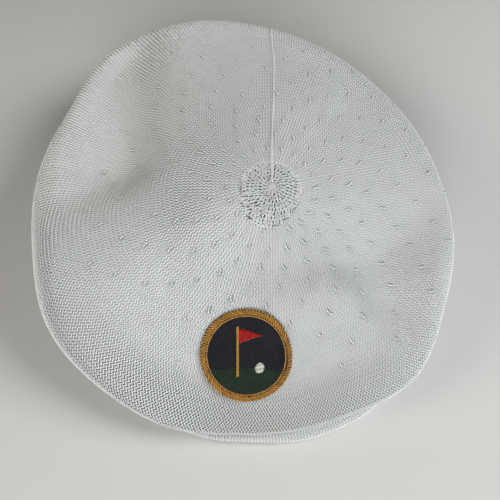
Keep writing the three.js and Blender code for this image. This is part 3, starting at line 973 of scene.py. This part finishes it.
def peak_points(turn, inset, full_corners=0.0):
    """The section at each turn, over the top, round the edge and back underneath."""
    across = np.clip((turn - PEAK_TURN) / PEAK["half_turn"], -LAST_ACROSS, LAST_ACROSS)
    start = band_reach(PEAK_MIDDLE, turn, GAP)
    full = np.sqrt(1 - np.abs(across) ** PEAK["taper"])
    end = start + PEAK["tip"] + (PEAK["reach"] - start - PEAK["tip"]) * full - inset
    end = end + full_corners * smooth(np.abs(turn - CORNERS_FROM) / CORNER_TURN)
    half = PEAK["thick"] / 2 - inset
    round_from = end - half * CORNER_BEND
    straight = share_of(FLAT_POINTS - 1)
    bend = np.linspace(math.pi / 2, -math.pi / 2, BEND_POINTS)[1:-1, None]
    over = start + (round_from - start) * straight
    edge = round_from + (end - round_from) * np.cos(bend)
    out = np.concatenate([over, edge, round_from + (start - round_from) * straight])
    flat = np.full((FLAT_POINTS, 1), half)
    z = PEAK["thick"] / 2 + np.concatenate([flat, half * np.sin(bend), -flat]) * np.ones_like(out)
    return np.stack([*in_plan(PEAK_MIDDLE, turn, out), z], -1) + SHIFT


def upright_grid(cloth, turns, first, spare):
    """Turns and lengths of a plain grid of stitches, as far as the cloth reaches."""
    grid = np.meshgrid(turns, np.arange(first, cloth.length.max(), WALE))
    turn, length = (field.ravel() for field in grid)
    held = length < cloth.reach_at(turn) - spare
    return turn[held], length[held]


peak_turns = PEAK_TURN + np.arange(-PEAK["half_turn"], PEAK["half_turn"] + PEAK_STEP, PEAK_STEP)
cover = Cloth(peak_turns, peak_points(peak_turns, COVER_INSET, CORNER_FULL), closed=False)
cover_turns = np.arange(peak_turns[0] + SIDE_SPARE, peak_turns[-1] - SIDE_SPARE, COURSE_TURN)
turn, length = upright_grid(cover, cover_turns, COVER_FROM, COVER_SPARE)
table = table_of(cover, turn, length, np.full(len(turn), COURSE_TURN), COVER_SUNK, seed=9)
table["size"][:, 0] = np.minimum(table["size"][:, 0], COVER_WIDEST)
# The cover is knitted in the lighter white, a painted highlight on the strip in front of the crown.
knit("peak_cover", table, stands_for="peak", rings=PLAIN_RINGS, material=tight_yarn)

board = peak_points(peak_turns[::2], BOARD_INSET)
sides, count = board.shape[:2]
caps = [tuple(range(sides)), tuple((count - 1) * sides + k for k in range(sides - 1, -1, -1))]
plain_piece("peak_board", board.transpose(1, 0, 2).reshape(-1, 3),
            caps + tube_faces(count, sides, closed=False), BOARD_SHADE, stands_for="peak")

# %% [markdown]
# The head band is a firm knitted tube that grips the head. Its stitches stand upright outside and
# inside. The solid wall between them keeps light out, as the doubled cloth of the real one does.

# %% The head band
BAND_POINTS, BAND_COURSES, BAND_FROM, BAND_SPARE = 10, 288, 1.6, 1.4
BAND_LIFT, BAND_SUNK, BAND_INSET, BAND_SHADE = 0.35, 0.4, 0.75, 0.35


def band_points(turn, inset=0.0):
    """The band's section: up the inside, over the top and down the outside."""
    outer = np.broadcast_to(band_reach(POLE, turn, -inset), (BAND_POINTS, len(turn)))
    inner = np.broadcast_to(band_reach(POLE, turn, inset - BAND["wall"]), (BAND_POINTS, len(turn)))
    low, high = BAND_LIFT + inset, band_top(turn) - inset
    up = share_of(BAND_POINTS - 1)
    out = np.concatenate([inner, outer])
    z = np.concatenate([low + (high - low) * up, high - (high - low) * up])
    return np.stack([*in_plan(POLE, turn, out), z], -1) + SHIFT


band_turns = np.arange(0, 360, 1.0)
band = Cloth(band_turns, band_points(band_turns), closed=True)
stitch_turns = np.arange(BAND_COURSES) * 360 / BAND_COURSES
turn, length = upright_grid(band, stitch_turns, BAND_FROM, BAND_SPARE)
table = table_of(band, turn, length, np.full(len(turn), 360 / BAND_COURSES), BAND_SUNK, seed=6)
knit("band_stitches", table, stands_for="head_band", rings=PLAIN_RINGS)

wall = band_points(band_turns, BAND_INSET)
plain_piece("band_wall", wall.transpose(1, 0, 2).reshape(-1, 3),
            tube_faces(len(band_turns), len(wall), closed=True), BAND_SHADE, stands_for="head_band")

# %% [markdown]
# Low on the front sits a round embroidered badge with a plain golf picture: a red pennant on its
# stick, a green and a ball, inside a gold rope. Embroidery is nothing but threads laid side by
# side, so each area is a table of short strands in one colour, all on the crown's own surface.

# %% The badge's surface
def crown_top(x, y):
    """Points of the crown's top over places in plan."""
    turn = np.degrees(np.arctan2(x - POLE[0], y - POLE[1]))
    s = section_at(turn)
    u = np.hypot(x - POLE[0], y - POLE[1]) / (s["reach"] - s["roll"])
    return np.stack([x, y, top_height(s, turn, u) + fold_lift(x, y)], -1)


middle, east, north = crown_top(np.array([BADGE["x"], BADGE["x"] + 1.0, BADGE["x"]]),
                                np.array([BADGE["y"], BADGE["y"], BADGE["y"] + 1.0]))
badge_across, badge_up = unit(east - middle), unit(north - middle)
badge_out = unit(np.cross(badge_across, badge_up))


def badge_at(a, b, lift):
    """Points on the badge, a to the right and b up from its middle."""
    x = BADGE["x"] + a * badge_across[0] + b * badge_up[0]
    y = BADGE["y"] + a * badge_across[1] + b * badge_up[1]
    return crown_top(x, y) + badge_out * np.asarray(lift)[..., None] + SHIFT


SATIN = {"sway": 0.0, "tuck": 0.0, "plump": 0.95}
THREAD_LONG, THREAD_DARK = WALE * 1.45, 0.35
AHEAD, THREAD_UNEVEN, MOST_WORN, WORN_POWER = 0.5, 0.06, 0.6, 1.5


def sew(name, a, b, angle, long, thick, lift, material, seed):
    """Threads on the badge: each lies at an angle from the right hand way."""
    count = len(angle)
    a, b, lift = each(a, count), each(b, count), each(lift, count)
    point = badge_at(a, b, lift)
    ahead = badge_at(a + AHEAD * np.cos(angle), b + AHEAD * np.sin(angle), lift)
    outward = np.broadcast_to(badge_out, point.shape)
    worn = MOST_WORN * np.random.default_rng(seed).uniform(size=count) ** WORN_POWER
    table = strands(point, outward, unit(ahead - point), each(long, count) / THREAD_LONG, thick / YARN,
                    seed=seed, uneven=THREAD_UNEVEN, deep=worn)
    return knit(name, table, slot="embroidery", stands_for="badge", material=material, **SATIN)


def thread(name, colour):
    dark = tuple(c * THREAD_DARK for c in colour[:3]) + (1.0,)
    return yarn_material(name, colour, dark, rough=0.42, sheen=0.35, fibre=0.2, grain=6000.0, fade=0.72)


gold = thread("gold_thread", (0.60, 0.33, 0.06, 1.0))
navy = thread("navy_thread", (0.012, 0.014, 0.026, 1.0))
green = thread("green_thread", (0.012, 0.045, 0.018, 1.0))
red = thread("red_thread", (0.50, 0.018, 0.016, 1.0))
pearl = thread("pearl_thread", (0.70, 0.68, 0.62, 1.0))
print("badge middle:", np.round(middle + SHIFT, 1))

# %% [markdown]
# Under the threads lies a round patch of dark cloth with a turned down edge. It is made of rings
# of points on the crown's surface, because a flat disk would stand off the curve at its sides.

# %% The badge's cloth
RADIUS = BADGE["across"] / 2
PATCH_RINGS, PATCH_SPOKES, PATCH_MARGIN = 14, 96, 0.5
PATCH_TOP, PATCH_EDGE, PATCH_BACK, PATCH_SHADE = 1.1, 0.8, 0.5, 0.3
FLAT_SHARE, EDGE_SHARE = 0.97, 0.985
ring_share = np.concatenate([np.linspace(0, FLAT_SHARE, PATCH_RINGS), [EDGE_SHARE, FLAT_SHARE]])[1:]
ring_out = ring_share * (RADIUS - PATCH_MARGIN)
ring_lift = np.concatenate([np.full(PATCH_RINGS - 1, PATCH_TOP), [PATCH_EDGE, PATCH_BACK]])
spoke = np.arange(PATCH_SPOKES) * 2 * math.pi / PATCH_SPOKES
a, b = ring_out[:, None] * np.cos(spoke), ring_out[:, None] * np.sin(spoke)
patch = badge_at(a.ravel(), b.ravel(), np.repeat(ring_lift, PATCH_SPOKES))
centres = [badge_at(np.zeros(1), np.zeros(1), np.array([lift])) for lift in (PATCH_TOP, PATCH_BACK)]
faces = tube_faces(len(ring_out), PATCH_SPOKES, closed=False)
last = len(patch) - PATCH_SPOKES
for k in range(PATCH_SPOKES):
    n = (k + 1) % PATCH_SPOKES
    faces += [(len(patch), k, n), (len(patch) + 1, last + n, last + k)]
plain_piece("badge_cloth", np.concatenate([patch, *centres]), faces, PATCH_SHADE, navy,
            "badge")

# %% [markdown]
# The fields are filled first, row by row with the rows staggered like bricks. Then come the rope
# round the edge, a fine inner ring, the stick, the pennant and the ball, each a little higher than
# what it lies on. Every thread follows the crown, so the picture bends with the cloth.

# %% The badge's threads
THREAD, ROW = 0.68, 0.52
FAT_THREAD, FATTER_THREAD = THREAD * 1.1, THREAD * 1.2
PAST_EDGE, BRICK_STEP, THREAD_ASTRAY, OVERLAP = 30, 0.37, 0.12, 0.85
ROPE_RING, ROPE_PITCH, ROPE_THREAD, ROPE_LONG, ROPE_TWIST = RADIUS - 2.4, 1.7, 1.2, 5.3, 0.8
FIELD = RADIUS - 4.2
INNER_RING, INNER_PITCH, INNER_LONG, INNER_TWIST = FIELD - 0.4, 1.5, 2.2, math.pi / 2 + 0.3
FIELD_LONG, GROUND_LEAN = 3.0, 0.35
GROUND_LINE, GROUND_RISE, GROUND_WAVE = -9.0, 2.2, 14
STICK_X, STICK_LOW, STICK_HIGH, STICK_WIDE, STICK_LEAN = -5.0, -11.5, 16.5, 1.9, 0.5
FLAG_FROM, FLAG_LOW, FLAG_LONG, FLAG_TIP, FLAG_LEAN = 1.0, 6.0, 14.5, 1.0, math.pi / 2 - 0.12
BALL_X, BALL_Y, BALL_R, BALL_SPARE, BALL_LEAN = 7.5, -7.0, 2.9, 0.4, 0.2
LIFTS = {"sky": 1.25, "ground": 1.3, "rope": 1.35, "picture": 1.6, "stick": 1.65}


def fill(inside, angle, long, seed):
    """Middles of rows of threads at an angle, staggered like bricks, wherever inside says yes."""
    rng = np.random.default_rng(seed)
    u, v = np.meshgrid(np.arange(-PAST_EDGE, PAST_EDGE, long), np.arange(-PAST_EDGE, PAST_EDGE, ROW))
    row = np.arange(len(v))[:, None]
    u = u + (row * BRICK_STEP * long) % long + THREAD_ASTRAY * rng.normal(0, 1, u.shape)
    a = (u * math.cos(angle) - v * math.sin(angle)).ravel()
    b = (u * math.sin(angle) + v * math.cos(angle)).ravel()
    keep = inside(a, b)
    return a[keep], b[keep]


def ground_top(a):
    return GROUND_LINE + GROUND_RISE * np.cos(a / GROUND_WAVE)


def lay(name, inside, angle, lift, material, seed):
    a, b = fill(inside, angle, FIELD_LONG * OVERLAP, seed)
    sew(name, a, b, np.full(len(a), angle), FIELD_LONG, THREAD, lift, material, seed)


def ring(name, radius, pitch, twist, long, thick, lift, seed):
    """Gold threads round a ring, each turned by a twist from the way out."""
    angle = np.arange(0, 2 * math.pi, pitch / radius)
    sew(name, radius * np.cos(angle), radius * np.sin(angle), angle + twist, long, thick, lift,
        gold, seed)


def in_sky(a, b):
    return (np.hypot(a, b) < FIELD) & (b > ground_top(a))


def in_ground(a, b):
    return (np.hypot(a, b) < FIELD) & (b <= ground_top(a))


lay("badge_sky", in_sky, 0.0, LIFTS["sky"], navy, 21)
lay("badge_ground", in_ground, GROUND_LEAN, LIFTS["ground"], green, 22)
ring("badge_rope", ROPE_RING, ROPE_PITCH, ROPE_TWIST, ROPE_LONG, ROPE_THREAD, LIFTS["rope"], 23)
ring("badge_inner_ring", INNER_RING, INNER_PITCH, INNER_TWIST, INNER_LONG, FATTER_THREAD,
     LIFTS["picture"], 24)

b = np.arange(STICK_LOW, STICK_HIGH, ROW)
sew("badge_stick", STICK_X, b, np.full(len(b), STICK_LEAN), STICK_WIDE, THREAD, LIFTS["stick"], gold, 25)
a = np.arange(STICK_X + FLAG_FROM, STICK_X + FLAG_LONG, ROW)
tall = np.maximum((STICK_HIGH - FLAG_LOW) * (1 - (a - STICK_X) / FLAG_LONG), FLAG_TIP)
sew("badge_pennant", a, (STICK_HIGH + FLAG_LOW) / 2, np.full(len(a), FLAG_LEAN), tall, FAT_THREAD,
    LIFTS["picture"], red, 26)
b = np.arange(-BALL_R, BALL_R, ROW)
ball_wide = 2 * np.sqrt(np.maximum(BALL_R**2 - b**2, 0)) + BALL_SPARE
sew("badge_ball", BALL_X, BALL_Y + b, np.full(len(b), BALL_LEAN), ball_wide, FAT_THREAD,
    LIFTS["picture"], pearl, 27)

# %% [markdown]
# The light in the photograph is soft daylight from the right and the front, with a weaker and
# warmer return from the left. So there are three soft disks of light, a dim sky and a plain pale
# floor, and the look has more contrast than the plain one, as a phone's picture has. The camera
# looks down at 60 degrees from 355 mm away, and its lens makes 500 pixels span 53 degrees.

# %% Camera, light and floor
VIEW_DISTANCE = 355.0
VIEW_TILT = math.radians(60)
FRAME_PIXELS, FOCAL_PIXELS = 500, 500.0
LAMP_AWAY, LAMP_SIZE, LAMPS_LOOK_AT = 1.4, 0.8, Vector((0, 0, 0.04))
LAMPS = {
    "right": ((0.80, 0.0, 0.60), 11.2, (0.97, 0.99, 1.0)),
    "left": ((-0.85, -0.15, 0.50), 4.8, (1.0, 0.95, 0.86)),
    "front": ((-0.05, -0.86, 0.45), 10.8, (0.93, 0.96, 1.0)),
}
SKY_COLOUR, SKY_STRENGTH = (1.0, 0.98, 0.92, 1.0), 0.02
FLOOR_COLOUR, FLOOR_ROUGH, FLOOR_HALF = (0.62, 0.61, 0.59, 1.0), 0.8, 3

scene = bpy.context.scene
look = Vector((0, math.cos(VIEW_TILT), -math.sin(VIEW_TILT)))
lens = bpy.data.cameras.new("camera")
lens.sensor_width = 36.0
lens.lens = lens.sensor_width * FOCAL_PIXELS / FRAME_PIXELS
camera = put_in_scene("camera", lens)
camera.location = Vector(SHIFT * MM) - look * VIEW_DISTANCE * MM
camera.rotation_euler = look.to_track_quat("-Z", "Y").to_euler()
scene.camera = camera
scene.view_settings.view_transform = "Standard"
scene.view_settings.look = "High Contrast"

for name, (direction, power, colour) in LAMPS.items():
    lamp = bpy.data.lights.new(name, "AREA")
    lamp.shape = "DISK"
    lamp.size, lamp.energy, lamp.color = LAMP_SIZE, power, colour
    direction = Vector(direction)
    holder = put_in_scene(name, lamp)
    holder.location = LAMPS_LOOK_AT + direction.normalized() * LAMP_AWAY
    holder.rotation_euler = (-direction).to_track_quat("-Z", "Y").to_euler()

world = bpy.data.worlds.new("studio")
world.use_nodes = True
sky = world.node_tree.nodes["Background"]
sky.inputs["Color"].default_value = SKY_COLOUR
sky.inputs["Strength"].default_value = SKY_STRENGTH
scene.world = world

floor_mesh = bpy.data.meshes.new("floor")
corners = [(x * FLOOR_HALF, y * FLOOR_HALF, 0) for x, y in ((-1, -1), (1, -1), (1, 1), (-1, 1))]
floor_mesh.from_pydata(corners, [], [(0, 1, 2, 3)])
floor = put_in_scene("floor", floor_mesh)
floor_paint = bpy.data.materials.new("floor_paint")
floor_paint.use_nodes = True
floor_shader = floor_paint.node_tree.nodes["Principled BSDF"]
floor_shader.inputs["Base Color"].default_value = FLOOR_COLOUR
floor_shader.inputs["Roughness"].default_value = FLOOR_ROUGH
floor_mesh.materials.append(floor_paint)
print("lights:", ", ".join(LAMPS))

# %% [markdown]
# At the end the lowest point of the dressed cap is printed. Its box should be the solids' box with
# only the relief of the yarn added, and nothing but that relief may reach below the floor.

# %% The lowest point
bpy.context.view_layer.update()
meshes = [o for o in bpy.data.objects if o.type == "MESH"]
low, name = min((min(corner[2] for corner in o.bound_box), o.name) for o in meshes)
print("lowest:", name, round(low / MM, 2), "mm")
